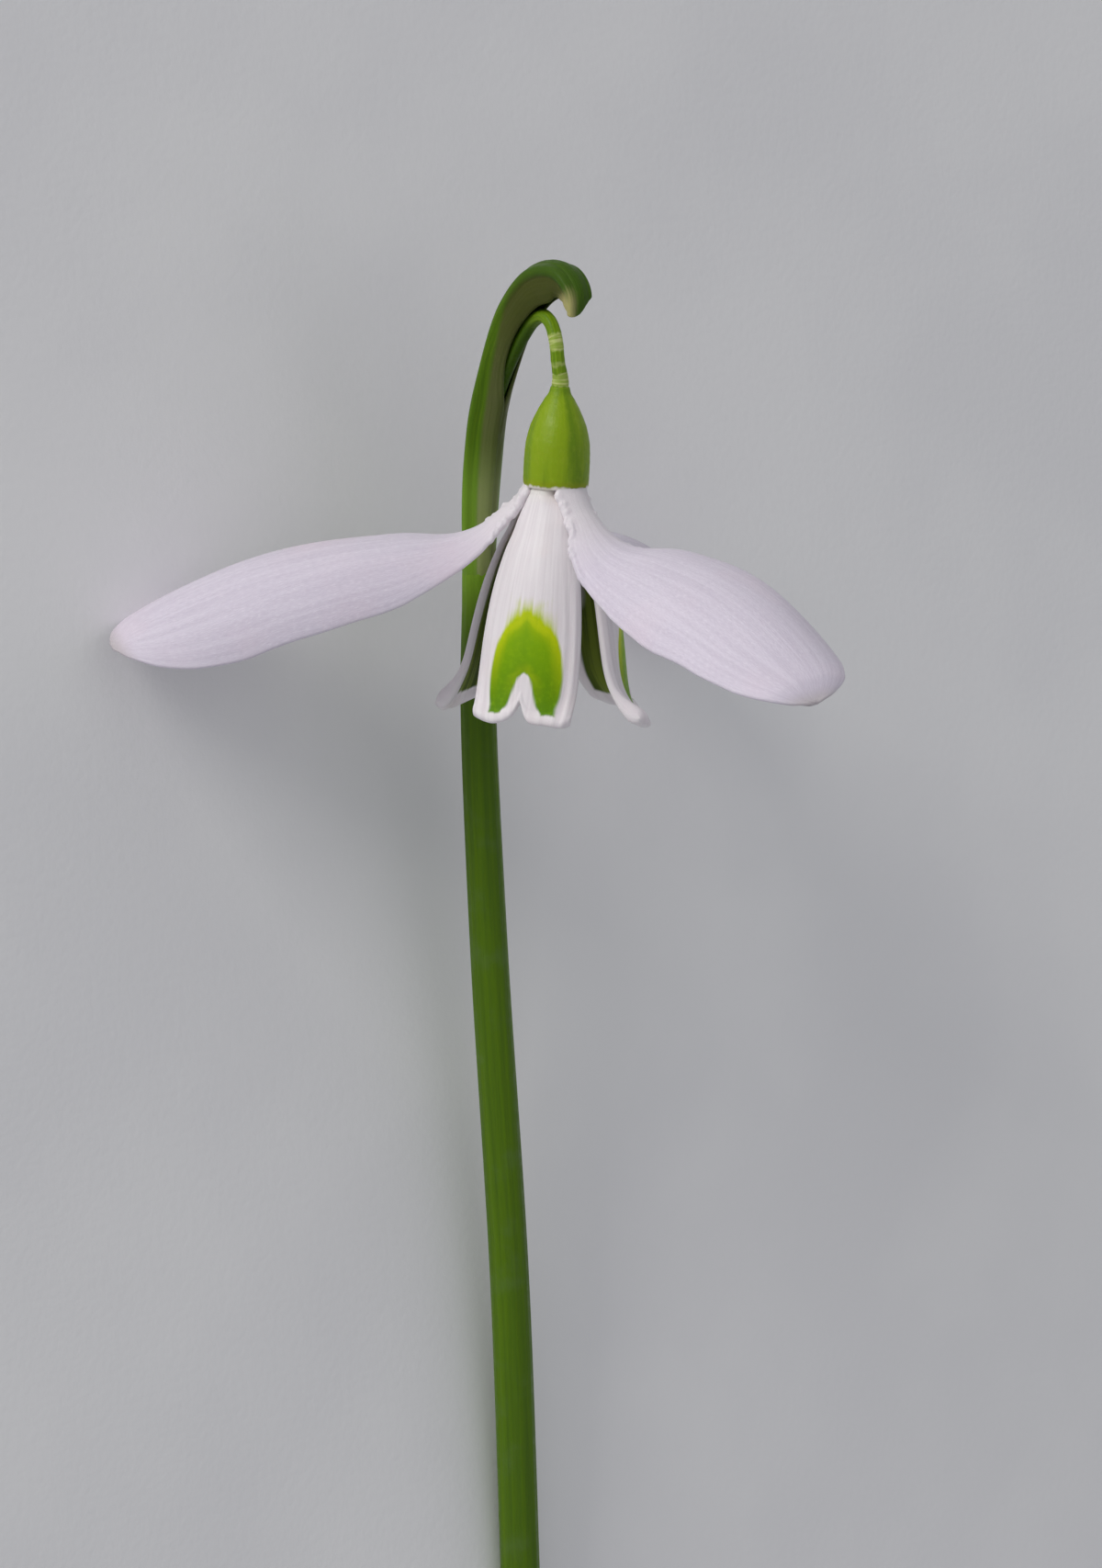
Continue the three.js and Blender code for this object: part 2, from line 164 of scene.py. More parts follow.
class Curve:
    """A centripetal Catmull-Rom curve through points, read by the share of its length."""

    SAMPLES = 200  # between two points

    def __init__(self, points):
        p = np.array(points, float)
        p = np.vstack([2 * p[0] - p[1], p, 2 * p[-1] - p[-2]])
        t = np.linspace(0, 1, self.SAMPLES, endpoint=False)[:, None]
        pieces = []
        for a, b, c, d in zip(p, p[1:], p[2:], p[3:]):
            before, between, after = (np.linalg.norm(v) ** 0.5 for v in (b - a, c - b, d - c))
            leaving = ((b - a) / before - (c - a) / (before + between) + (c - b) / between) * between
            arriving = ((c - b) / between - (d - b) / (between + after) + (d - c) / after) * between
            pieces.append(
                (2 * t**3 - 3 * t**2 + 1) * b
                + (t**3 - 2 * t**2 + t) * leaving
                + (3 * t**2 - 2 * t**3) * c
                + (t**3 - t**2) * arriving
            )
        self.points = np.vstack([*pieces, p[-2]])
        steps = np.linalg.norm(np.diff(self.points, axis=0), axis=1)
        self.distance = np.concatenate([[0], np.cumsum(steps)])
        self.length = self.distance[-1]

    def point(self, share):
        distance = np.clip(share, 0, 1) * self.length
        return np.stack([np.interp(distance, self.distance, column) for column in self.points.T], axis=-1)

    def tangent(self, share):
        step = 1e-3
        return unit(self.point(np.minimum(share + step, 1)) - self.point(np.maximum(share - step, 0)))


# Laying the flower down
table_normal = level(UPWARD_AZIMUTH) * math.cos(STEM_RISE) + UP * math.sin(STEM_RISE)
along_table = unit(UP - UP.dot(table_normal) * table_normal)
TO_TABLE = np.array([np.cross(along_table, table_normal), along_table, table_normal])
LEAN = np.array(Matrix.Rotation(FLOWER_LEAN, 3, "Z"))

# The middle of the style's solid gives the place of the origin above it
style_middle = np.mean([v.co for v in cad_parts["style"].data.vertices], axis=0) / MM
ORIGIN = style_middle + TO_TABLE @ LEAN @ UP * (SEAT_GAP + STYLE_END) / 2
ORIGIN[2] = REST_HEIGHT


def over_table(x, y, height):
    """The point of the upright plant that lies at a height above the table."""
    rest = height - REST_HEIGHT - table_normal[0] * x - table_normal[1] * y
    return [x, y, rest / table_normal[2]]


def in_arch(points):
    """Points in the plane of the stem's hook: from the scape towards the flower, and up the plant."""
    away, up = np.array(points, float).T
    return level(ARCH_AZIMUTH) * (away - STEM_OFFSET)[:, None] + UP * up[:, None]


# Making meshes

PLAIN_CAP = [(0.5, 0), (0.1, 0)]  # for an end that is hidden or very thin


class Form:
    """Vertices in the plant frame, faces, and values at the vertices that the materials read."""

    def __init__(self, points, faces, **fields):
        self.points = points
        self.faces = faces
        self.fields = fields


def quads_of(number):
    corners = number[:-1, :-1], number[:-1, 1:], number[1:, 1:], number[1:, :-1]
    return np.stack(corners, axis=-1).reshape(-1, 4).tolist()


def blade_grid(rows, columns):
    """Places along a blade, 0 to 1, and across it, -1 to 1, closer together near its ends and margins."""
    t = np.linspace(0, 1, rows + 1)
    v = np.linspace(-1, 1, columns + 1)
    along = t - 0.5 * np.sin(2 * np.pi * t) / (2 * np.pi)
    return np.meshgrid(along, v * (1.35 - 0.35 * v**2), indexing="ij")


def rounded(distance, width):
    """A quarter-round profile: 0 at an edge and 1 from `width` inwards."""
    return np.sqrt(1 - (1 - np.clip(distance / width, 0, 1)) ** 2)


def blade(middle, thickness, relief, outside, **fields):
    """A closed blade about a grid of points of its middle surface, its two faces joined along the margins.

    Its outer face is on the side of across x along where outside is 1, and on the other where it is -1.
    relief raises the faces outwards. relief and every field are one grid, or a pair of grids, for the outer
    and the inner face."""
    normal = outside * unit(np.cross(np.gradient(middle, axis=1), np.gradient(middle, axis=0)))
    on_outer, on_inner = relief if isinstance(relief, tuple) else (relief, relief)
    outer = middle + normal * (thickness / 2 + on_outer)[..., None]
    inner = middle - normal * (thickness / 2 - on_inner)[..., None]
    rows, columns = thickness.shape
    number = np.arange(rows * columns).reshape(rows, columns)
    under = number.copy()
    under[1:-1, 1:-1] = rows * columns + np.arange((rows - 2) * (columns - 2)).reshape(rows - 2, columns - 2)

    def both(field):
        on_outer, on_inner = field if isinstance(field, tuple) else (field, field)
        width = on_outer.shape[2:]
        return np.concatenate([on_outer.reshape(-1, *width), on_inner[1:-1, 1:-1].reshape(-1, *width)])

    faces = quads_of(number[:, ::outside]) + quads_of(under[:, ::-outside])
    return Form(both((outer, inner)), faces, **{name: both(field) for name, field in fields.items()})


def skin(rings, **fields):
    """A closed form round rings of points. Its first and last ring are small, and closed at their middle."""
    count, sides = rings.shape[:2]
    number = np.arange(count * sides).reshape(count, sides)
    wrapped = np.hstack([number, number[:, :1]])
    first, last = count * sides, count * sides + 1
    faces = quads_of(wrapped)
    for here, following in zip(wrapped[0], wrapped[0, 1:]):
        faces.append([first, int(following), int(here)])
    for here, following in zip(wrapped[-1], wrapped[-1, 1:]):
        faces.append([last, int(here), int(following)])

    def whole(field):
        width = field.shape[2:]
        return np.concatenate([field.reshape(-1, *width), field[0].mean(0)[None], field[-1].mean(0)[None]])

    return Form(whole(rings), faces, **{name: whole(field) for name, field in fields.items()})


def rod(curve, steps, sides, radius, down, start_cap, end_cap):
    """A round rod along a curve. radius(share, angle) is its section, with angle 0 towards `down`.

    A cap is a list of rings, from the rim to the middle: the share of the radius, and how far it is sunk into
    the rod. The field "place" is the cosine and sine of the angle and the distance along the rod. "cut" is 0
    on the side, and falls from 2 at the rim of a cap to 1 at its middle."""
    angle = np.arange(sides) * 2 * np.pi / sides
    share = np.linspace(0, 1, steps + 1)
    starts = [(0, size, sunk, 1 + size) for size, sunk in reversed(start_cap)]
    ends = [(1, size, -sunk, 1 + size) for size, sunk in end_cap]
    stations = starts + [(at, 1, 0, 0) for at in share] + ends
    at, size, shift, cut = np.array(stations, float).T
    tangent = curve.tangent(at)
    centre = curve.point(at) + tangent * shift[:, None]
    beside = unit(np.cross(tangent, down))
    below = np.cross(beside, tangent)
    reach = radius(at[:, None], angle[None, :]) * size[:, None]
    rings = (
        centre[:, None]
        + below[:, None] * (reach * np.cos(angle))[..., None]
        + beside[:, None] * (reach * np.sin(angle))[..., None]
    )
    flat = np.ones_like(reach)
    place = np.stack([flat * np.cos(angle), flat * np.sin(angle), flat * at[:, None] * curve.length], axis=-1)
    return skin(rings, place=place, cut=flat * cut[:, None])


def piece(node, form, material, in_flower=True):
    """Lays a form on the table as the piece that stands for a CAD node."""
    points = form.points @ LEAN.T if in_flower else form.points
    points = points @ TO_TABLE.T + ORIGIN
    points[:, 2] = np.maximum(points[:, 2], 0)  # nothing reaches into the table
    mesh = bpy.data.meshes.new(node + "_surface")
    mesh.from_pydata((points * MM).tolist(), [], form.faces, shade_flat=False)
    for name, field in form.fields.items():
        kind, key = ("FLOAT_VECTOR", "vector") if field.ndim == 2 else ("FLOAT", "value")
        attribute = mesh.attributes.new(name, kind, "POINT")
        attribute.data.foreach_set(key, field.astype(np.float32).ravel())
    mesh.materials.append(material)
    made = bpy.data.objects.new(node + "_surface", mesh)
    bpy.context.scene.collection.objects.link(made)
    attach(made, "root")
    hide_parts(node)


# Relief

STREAK_WAVES = 14
STREAK_PEAK = 5  # about the most that these waves add up to


def streaks(u, s, finest, seed):
    """Lengthwise ridges between about -1 and 1, which wander and come and go along a blade."""
    draw = np.random.default_rng(seed)
    total = np.zeros_like(u)
    for _ in range(STREAK_WAVES):
        pitch = draw.uniform(0.3, 1) * finest
        wander = draw.uniform(-1.5, 1.5) * np.sin(2 * s + draw.uniform(0, 6))
        swell = 0.6 + 0.4 * np.sin(draw.uniform(2, 7) * s + draw.uniform(0, 6))
        total += np.cos(pitch * u + wander + draw.uniform(0, 6)) * swell
    return total / STREAK_PEAK


# Outer petals: a narrow claw that opens into a long, deeply arched blade

OUTER_GRID = (260, 104)  # faces along and across
OUTER_LENGTH = 31  # along the blade
OUTER_FOOT_THICKNESS = 0.58
OUTER_THINNING = 0.22  # from the foot to the blade
WARTS = 42  # on the rough margin of a claw, and a sixth of them on the other
WART_HEIGHT = 0.2
random = np.random.default_rng(11)  # for the warts

# Its midline, as shares of its reach and heights
outer_midline = Curve(
    [
        (away * OUTER_REACH, up, 0)
        for away, up in [
            (0, 0),
            (0.008, -0.5),
            (0.05, -1.6),
            (0.11, -2.9),
            (0.18, -3.7),
            (0.32, -4.1),
            (0.5, -4.9),
            (0.66, -6.2),
            (0.83, -8.3),
            (0.94, -10),
            (1, -11.1),
        ]
    ]
)
# Along the blade, its half width and the radius of its arch
outer_half_width = through(
    (0, 1.2),
    (0.08, 1.35),
    (0.17, 2.7),
    (0.28, 4.3),
    (0.42, 5.5),
    (0.58, 6.1),
    (0.72, 6.1),
    (0.84, 5.4),
    (0.93, 3.9),
    (0.98, 1.9),
    (1, 0.35),
)
outer_arch_radius = through((0, 1.86), (0.1, 2.2), (0.3, 4.6), (0.55, 5.4), (0.85, 5), (1, 4))


def warts(s, u, half_width, rough_side, rough_end):
    """Small blunt bumps along the margins of a claw: their height, and how far they push the margin out."""
    height = np.zeros_like(u)
    push = np.zeros_like(u)
    for side, count in (rough_side, WARTS), (-rough_side, WARTS // 6):
        for _ in range(count):
            along = 0.012 + rough_end * random.uniform() ** 1.3
            inset = random.uniform(0, 0.36)
            size = random.uniform(0.11, 0.26)
            tall = WART_HEIGHT * random.uniform(0.5, 1)
            from_row = (s - along) * OUTER_LENGTH
            from_margin = (1 - side * u) * half_width - inset
            height = np.maximum(height, tall * bell(np.hypot(from_row, from_margin), size))
            push = np.maximum(push, tall * bell(from_row, size) * (side * u > 0) * bell(inset, 0.2))
    return height, push


def places(s, u):
    """Across, along, and the face: 1 outside, -1 inside."""
    flat = np.ones_like(s)
    return np.stack([u, s, flat], axis=-1), np.stack([u, s, -flat], axis=-1)


def outer_tepal(
    seed, azimuth, roll, foot=0, claw=1, waist=0, claw_roll=0, twist=0, reach=OUTER_REACH, width=1, skew=0,
    arch=1, fall=0, hook=0.3, rough_side=1, rough_end=0.2,
):
    s, u = blade_grid(*OUTER_GRID)
    away = level(math.radians(azimuth))
    turned_foot = np.radians(azimuth + foot * (1 - smoothstep(s, 0, 0.22)))
    beside = level(turned_foot + np.pi / 2)
    midline = outer_midline.point(s)
    slope = outer_midline.tangent(s)
    outward = UP * slope[..., :1] - away * slope[..., 1:2]
    past_claw = smoothstep(s, 0, 0.3)
    in_claw = 1 - smoothstep(s, 0.08, 0.24)
    half_width = outer_half_width(s) * (1 + (width - 1) * past_claw) * (1 + (claw - 1) * in_claw)
    half_width = half_width * (1 + skew * bell(s - 0.82, 0.22) * u) * (1 - waist * bell(s - 0.2, 0.08))
    radius = outer_arch_radius(s) * (1 + (arch - 1) * past_claw)
    turn = roll * smoothstep(s, 0.02, 0.3) + twist * smoothstep(s, 0.3, 1) + claw_roll * bell(s - 0.07, 0.045)
    turn = np.radians(turn)
    wart_height, push = warts(s, u, half_width, rough_side, rough_end)
    angle = (u * half_width + np.sign(u) * u**4 * push) / radius + turn
    waves = 0.03 * u**2 * np.sin(17 * s + 5 * u + seed) + 0.04 * np.sin(9 * s - 4 * u + 2 * seed)
    raised = radius * (np.cos(angle) - np.cos(turn)) + waves * smoothstep(s, 0.25, 0.5)
    raised -= hook * smoothstep(s, 0.93, 1)
    seat = SEAT_GAP - (SEAT_GAP + SUNK) * (1 - smoothstep(s, 0, 0.06))
    middle = (
        level(turned_foot) * CLAW_RADIUS
        + away * (midline[..., :1] * reach / OUTER_REACH)
        + UP * (midline[..., 1] - seat - fall * s**2)[..., None]
        + beside * (radius * (np.sin(angle) - np.sin(turn)))[..., None]
        + outward * raised[..., None]
    )
    margin = (1 - np.abs(u)) * half_width
    from_tip = (1 - s) * OUTER_LENGTH
    body = OUTER_FOOT_THICKNESS - OUTER_THINNING * smoothstep(s, 0.02, 0.25)
    thickness = body * rounded(margin, 0.24) * rounded(from_tip, 0.24) * rounded(s * OUTER_LENGTH, 0.1)
    ribs = (0.003 + 0.016 * bell(s - 0.2, 0.14)) * streaks(u, s, 42, seed)
    relief = ribs * smoothstep(margin, 0, 0.5)
    return blade(middle, thickness, (relief + wart_height, relief), -1, place=places(s, u))


# Inner petals: short, cupped and notched, with a green mark outside and a green lining

INNER_GRID = (170, 132)  # faces along and across
INNER_LENGTH = 15.5
INNER_THICKNESS = 0.4
NOTCH_DEPTH = 1.5
NOTCH_WIDTH = 0.107  # of half the blade
INNER_ROLL = 0.88  # radius of a blade's own arch, as a share of its distance from the flower's axis
RIM = 0.6  # width of the thick white rim
RIM_THICKER = 0.22
BETWEEN_CLAWS = 0.56  # how far the foot of a blade bulges into the gap between two claws

# Down the blade, its distance from the flower's axis, and how far round its arch each half goes, in degrees
inner_radius = through(
    (0, 1.22),
    (0.4, 1.35),
    (0.9, 1.8),
    (1.5, 2.25),
    (2.2, 2.62),
    (3, 2.96),
    (4.4, 3.6),
    (7, 4.4),
    (10, 5),
    (13, 5.45),
    (15.6, 5.9),
)
inner_reach = through((0, 52), (0.5, 60), (1.2, 60), (3.2, 55), (6, 53), (10, 50), (13, 46), (15.6, 37))

# Half widths of the mark's outline and of the white notch in it, down the blade from its foot
MARK_TOP = 7.8
MARK_NOTCH_TOP = 12.1
MARK_SHIFT = 0.12  # the mark sits this far to one side
mark_outline = through(
    (MARK_TOP, 0.5),
    (8.2, 0.95),
    (8.7, 1.4),
    (9.4, 1.8),
    (10.2, 2.15),
    (11.2, 2.42),
    (12.5, 2.56),
    (13.5, 2.5),
    (14.4, 2.3),
)
mark_notch = through((MARK_NOTCH_TOP, 0.05), (12.4, 0.36), (12.8, 0.52), (13.6, 0.76), (14.3, 1), (14.8, 1.4))


def inner_tepal(
    seed, azimuth, lip, drop, corner_cut, knob, gap_width, lean=0, spread=0, gap=0, gap_flat=0
):
    s, u = blade_grid(*INNER_GRID)
    side = math.radians(azimuth)
    notch = np.exp(-((np.hypot(u, 0.012) / NOTCH_WIDTH) ** 1.1))
    edge = INNER_LENGTH - NOTCH_DEPTH * notch - corner_cut * np.abs(u) ** 8
    edge += 0.07 * np.sin(9 * u + seed)
    down = s * (edge + SUNK) - SUNK
    reach = np.radians(inner_reach(down)) * (1 + spread * smoothstep(down, 1, 5) * smoothstep(u, 0, 1))
    corner = s**14 * smoothstep(np.abs(u), 0, 0.9)
    in_gap = bell(np.maximum(np.abs(u * reach - gap) - gap_flat, 0), gap_width)
    between_claws = BETWEEN_CLAWS * bell(down - 0.2, 0.9) * in_gap
    radius = inner_radius(down) + lip * corner + between_claws
    middle = (
        level(side) * (radius * (1 - INNER_ROLL) + math.tan(math.radians(lean)) * down)[..., None]
        + level(side + u * reach) * (radius * INNER_ROLL)[..., None]
        - UP * (down + drop * corner)[..., None]
    )
    across = u * reach * radius * INNER_ROLL
    margin = (1 - np.abs(u)) * reach * radius * INNER_ROLL
    end = edge - down
    in_rim = np.maximum(1 - smoothstep(end, RIM * 0.7, RIM * 1.5), 0.6 * (1 - smoothstep(margin, 0.4, 1)))
    from_knob = np.hypot(end - 0.45, margin - 0.45)
    body = INNER_THICKNESS + RIM_THICKER * in_rim * smoothstep(down, 3, 8) + knob * bell(from_knob, 0.75)
    thickness = body * rounded(margin, 0.3) * rounded(end, 0.34) * rounded(down + SUNK, 0.1)
    ribs = 0.008 * streaks(u, s, 26, seed) * smoothstep(end, 0.4, 1.6)
    folds = 0.07 * bell(margin - 0.62, 0.22) + 0.05 * bell(margin - 1.25, 0.2)
    relief = (ribs + folds * smoothstep(down, 4, 9)) * smoothstep(margin, 0, 0.3)
    x = np.abs(across - MARK_SHIFT)
    outside = np.minimum.reduce(
        [
            0.8 * (mark_outline(down) - x),
            np.where(down < MARK_NOTCH_TOP, np.hypot(x, down - MARK_NOTCH_TOP), 0.8 * (x - mark_notch(down))),
            down - MARK_TOP,
            end - RIM,
        ]
    )
    inside = np.minimum.reduce([margin - 0.8, 0.5 * (down - 2), end - 1])
    return blade(middle, thickness, relief, -1, place=places(s, u), mark=(outside, inside))


# Spathe: the folded sheath round the pedicel, slit along the inside of the hook, with a keel on either side

spathe_curve = Curve(
    in_arch(
        [
            (0, SPATHE_BASE),
            (0.1, -2.6),
            (0.5, 1.2),
            (1.15, 4.6),
            (2.65, 8.4),
            (4.9, 12),
            (7.3, 13.95),
            (9.5, 14.2),
            (10.7, 13.2),
            (10.75, 11.75),
        ]
    )
)
# Its section is one half ellipse on the outside of the hook and another on the slit side. Angles are turned
# from the outside, in degrees.
spathe_half_width = through((0, 1.2), (0.3, 1.45), (0.75, 1.4), (0.92, 1.15), (1, 0.8))
spathe_back_depth = through((0, 1.2), (0.4, 1.5), (0.78, 1.5), (0.93, 1.1), (1, 0.8))
spathe_slit_depth = through(
    (0, 1.2), (0.45, 1.5), (0.6, 1.6), (0.74, 2.1), (0.84, 2.4), (0.93, 1.5), (1, 0.9)
)
spathe_reach = through((0, 186), (0.43, 185), (0.5, 166), (0.58, 149), (0.7, 144), (0.85, 144), (1, 142))
spathe_keel = through((0, 90), (0.5, 88), (0.7, 64), (1, 60))
# The green band at a keel, between the thin greyish skins
band_start = through((0, 48), (0.5, 40), (0.72, 8), (0.8, -20))
band_end = through((0, 134), (0.42, 128), (0.6, 104), (0.74, 76), (0.9, 84), (1, 100))
SPATHE_GRID = (240, 112)  # faces along and across
SPATHE_INSET = 0.3  # of the middle of the skin from the section's outline
SPATHE_SKIN = 0.26  # thickness of the thin skin between the keels
KEEL_HEIGHT = 0.2
FAR_FLAP_SHORT = 13  # degrees by which the far flap makes room for the pedicel
TIP_CUT = 1.7  # how much shorter the sheath is at the sides of its tip than at its lowest point
TIP_LOWEST = 0.35  # where that point is, across the sheath


def spathe():
    s, u = blade_grid(*SPATHE_GRID)
    side = np.cross(level(ARCH_AZIMUTH), UP)
    t = s - s**12 * TIP_CUT / spathe_curve.length * (1 - bell(u - TIP_LOWEST, 0.75))
    reach = spathe_reach(t) - FAR_FLAP_SHORT * (u < 0) * smoothstep(s, 0.28, 0.4)
    turned = np.abs(u) * reach
    angle = np.sign(u) * np.radians(turned)
    keel = bell(turned - spathe_keel(t), 17) * smoothstep(s, 0, 0.1)
    green = np.minimum(turned - band_start(t), band_end(t) - turned)
    outward = unit(np.cross(side, spathe_curve.tangent(t)))
    wrinkles = 0.02 * streaks(u, s, 34, 3) * (1 - keel) * smoothstep(s, 0.05, 0.3)
    overlap = 0.18 * np.where(u < 0, -smoothstep(s, 0.38, 0.28), 1) * smoothstep(turned, 135, 180)
    depth = np.where(turned < 90, spathe_back_depth(t), spathe_slit_depth(t)) - SPATHE_INSET
    depth = depth + wrinkles + overlap
    width = spathe_half_width(t) - SPATHE_INSET + 0.06 * keel + wrinkles + overlap
    middle = (
        spathe_curve.point(t)
        + outward * (depth * np.cos(angle))[..., None]
        + side * (width * np.sin(angle))[..., None]
    )
    margin = (1 - np.abs(u)) * np.radians(reach) * 1.2
    off_slit = 1 - smoothstep(np.abs(u), 0.8, 0.92)
    body = SPATHE_SKIN + 0.1 * keel + 0.4 * (1 - smoothstep(s, 0, 0.1)) * off_slit
    from_base = s * spathe_curve.length
    ends = rounded((1 - s) * spathe_curve.length, 0.2) * rounded(from_base, 0.05)
    ends = ends * (0.8 + 0.2 * smoothstep(from_base, 0, 0.8))
    thickness = body * rounded(margin, 0.16) * ends
    relief = 0.012 * streaks(u, s, 60, 4) * smoothstep(margin, 0, 0.3)
    on_outer = relief + KEEL_HEIGHT * keel * ends
    return blade(middle, thickness, (on_outer, relief), 1, place=places(s, u), green=green)


# Stem: the scape from its cut end to the sheath, and the pedicel from the ovary down into the sheath

SCAPE_STEPS = 420
SCAPE_SIDES = 72
PEDICEL_STEPS = 300
PEDICEL_SIDES = 40
PEDICEL_RIDGES = (0.65, 1.05, 1.45, 2.2, 3.05, 3.5, 3.95)  # rings, from the ovary up


def scape():
    lying = [
        over_table(x, y, 0.95 * SCAPE_CUT_RADIUS) for x, y in [(-1.7, -103.99), (-2.1, -93), (-2.5, -81)]
    ]
    rising = [over_table(-3.3, -58, 2.8), over_table(-4.7, -34, 5), over_table(-5.4, -16, 7.2)]
    top = in_arch([(0, SPATHE_BASE - 2), (0, SPATHE_BASE), (0.02, SPATHE_BASE + 0.6)])
    curve = Curve([*lying, *rising, *top])
    thick = through(
        (0, SCAPE_CUT_RADIUS), (0.27, SCAPE_CUT_RADIUS), (0.9965, SCAPE_TOP_RADIUS), (0.998, 1.12), (1, 0.9)
    )

    def radius(share, angle):
        ridges = 0.012 * np.cos(9 * angle + 3 * share) + 0.01 * np.cos(15 * angle - 5 * share)
        return thick(share) * (1 + 0.02 * np.cos(2 * angle)) + ridges

    cut_face = [
        (0.985, 0.004), (0.95, 0.01), (0.85, 0.035), (0.7, 0.04), (0.5, 0.08), (0.25, 0.13), (0.03, 0.13)
    ]
    top_cap = [(0.6, 0), (0.05, 0)]
    return rod(curve, SCAPE_STEPS, SCAPE_SIDES, radius, -table_normal, cut_face, top_cap)


def pedicel():
    in_ovary = [LEAN @ UP * height for height in (OVARY_LENGTH - SUNK, OVARY_LENGTH + 0.6)]
    hanging = in_arch(
        [(8.87, 8.6), (8.65, 9.95), (8.1, 11.1), (7.25, 11.55), (6.2, 11.15), (5.1, 10.1), (3.6, 8.2)]
    )
    in_spathe = in_arch([(2.4, 6.2), (1.5, 4.2), (0.6, 1.2), (0.15, -2.6), (0, SPATHE_BASE)])
    curve = Curve([*in_ovary, *hanging, *in_spathe])

    def radius(share, angle):
        distance = share * curve.length
        swollen = 0.13 * bell(distance, 1.1)
        ridges = sum(0.016 * bell(distance - at, 0.16) for at in PEDICEL_RIDGES)
        return PEDICEL_RADIUS + swollen + ridges + 0.012 * np.cos(5 * angle)

    down = level(ARCH_AZIMUTH + math.pi / 2)
    return rod(curve, PEDICEL_STEPS, PEDICEL_SIDES, radius, down, PLAIN_CAP, PLAIN_CAP)


# Ovary: the green pear above the petals

OVARY_RINGS = 90
OVARY_SIDES = 112
ovary_radius = through(
    (0, 0.95),
    (0.03, 0.99),
    (0.21, 1),
    (0.4, 0.98),
    (0.58, 0.88),
    (0.76, 0.66),
    (0.88, 0.46),
    (0.95, 0.33),
    (1, 0.29),
)


def ovary():
    share = np.concatenate([[0, 0, 0, 0], np.linspace(0, 1, OVARY_RINGS), [1.006, 1.01, 1.01]])
    size = np.concatenate([[0.03, 0.4, 0.8, 0.97], np.ones(OVARY_RINGS), [0.96, 0.86, 0.05]])
    angle = np.linspace(0, 2 * np.pi, OVARY_SIDES, endpoint=False)
    lobes = 1 + 0.012 * np.cos(3 * angle + 0.6) * np.sin(np.pi * share)[:, None]
    dimples = 0.008 * np.sin(23 * angle + 40 * share[:, None]) * np.sin(19 * angle - 31 * share[:, None])
    radius = OVARY_RADIUS * (ovary_radius(share) * size)[:, None] * lobes + dimples * size[:, None]
    rings = level(angle) * radius[..., None] + UP * (share * OVARY_LENGTH)[:, None, None]
    flat = np.ones_like(radius)
    place = np.stack([flat * np.cos(angle), flat * np.sin(angle), flat * share[:, None]], axis=-1)
    return skin(rings, place=place)


# Inside the flower

STAMEN_STEPS = 80
STAMEN_SIDES = 28
STYLE_STEPS = 60
STYLE_SIDES = 20


def stamen(number):
    azimuth = 2 * math.pi * (number + 0.5) / STAMEN_COUNT
    points = [(0.55, SUNK), (0.62, -0.8), (0.98, -2), (0.98, -4), (0.72, -6.2), (0.5, -7.8)]
    curve = Curve([level(azimuth) * r + UP * y for r, y in points])
    thick = through(
        (0, 0.16), (0.14, 0.15), (0.2, 0.34), (0.3, 0.42), (0.55, 0.41), (0.8, 0.27), (0.93, 0.12), (1, 0.04)
    )

    def radius(share, angle):
        in_anther = smoothstep(share, 0.16, 0.24) * (1 - smoothstep(share, 0.85, 1))
        furrows = 1 - 0.2 * in_anther * (1 - np.abs(np.sin(2 * angle))) ** 2 + 0.04 * np.cos(70 * share)
        return thick(share) * furrows

    return rod(curve, STAMEN_STEPS, STAMEN_SIDES, radius, level(azimuth), PLAIN_CAP, PLAIN_CAP)


def style():
    curve = Curve([UP * SUNK, UP * -3, UP * -6, UP * -STYLE_END])
    thick = through((0, 0.2), (0.7, 0.19), (0.93, 0.13), (0.97, 0.15), (1, 0.1))

    def radius(share, angle):
        return thick(share) * np.ones_like(angle)

    return rod(curve, STYLE_STEPS, STYLE_SIDES, radius, level(0), PLAIN_CAP, PLAIN_CAP)


# Materials

def display(red, green, blue):
    """A colour from its display values, 0 to 255."""
    c = np.array([red, green, blue]) / 255
    return (*np.where(c <= 0.04045, c / 12.92, ((c + 0.055) / 1.055) ** 2.4).tolist(), 1)


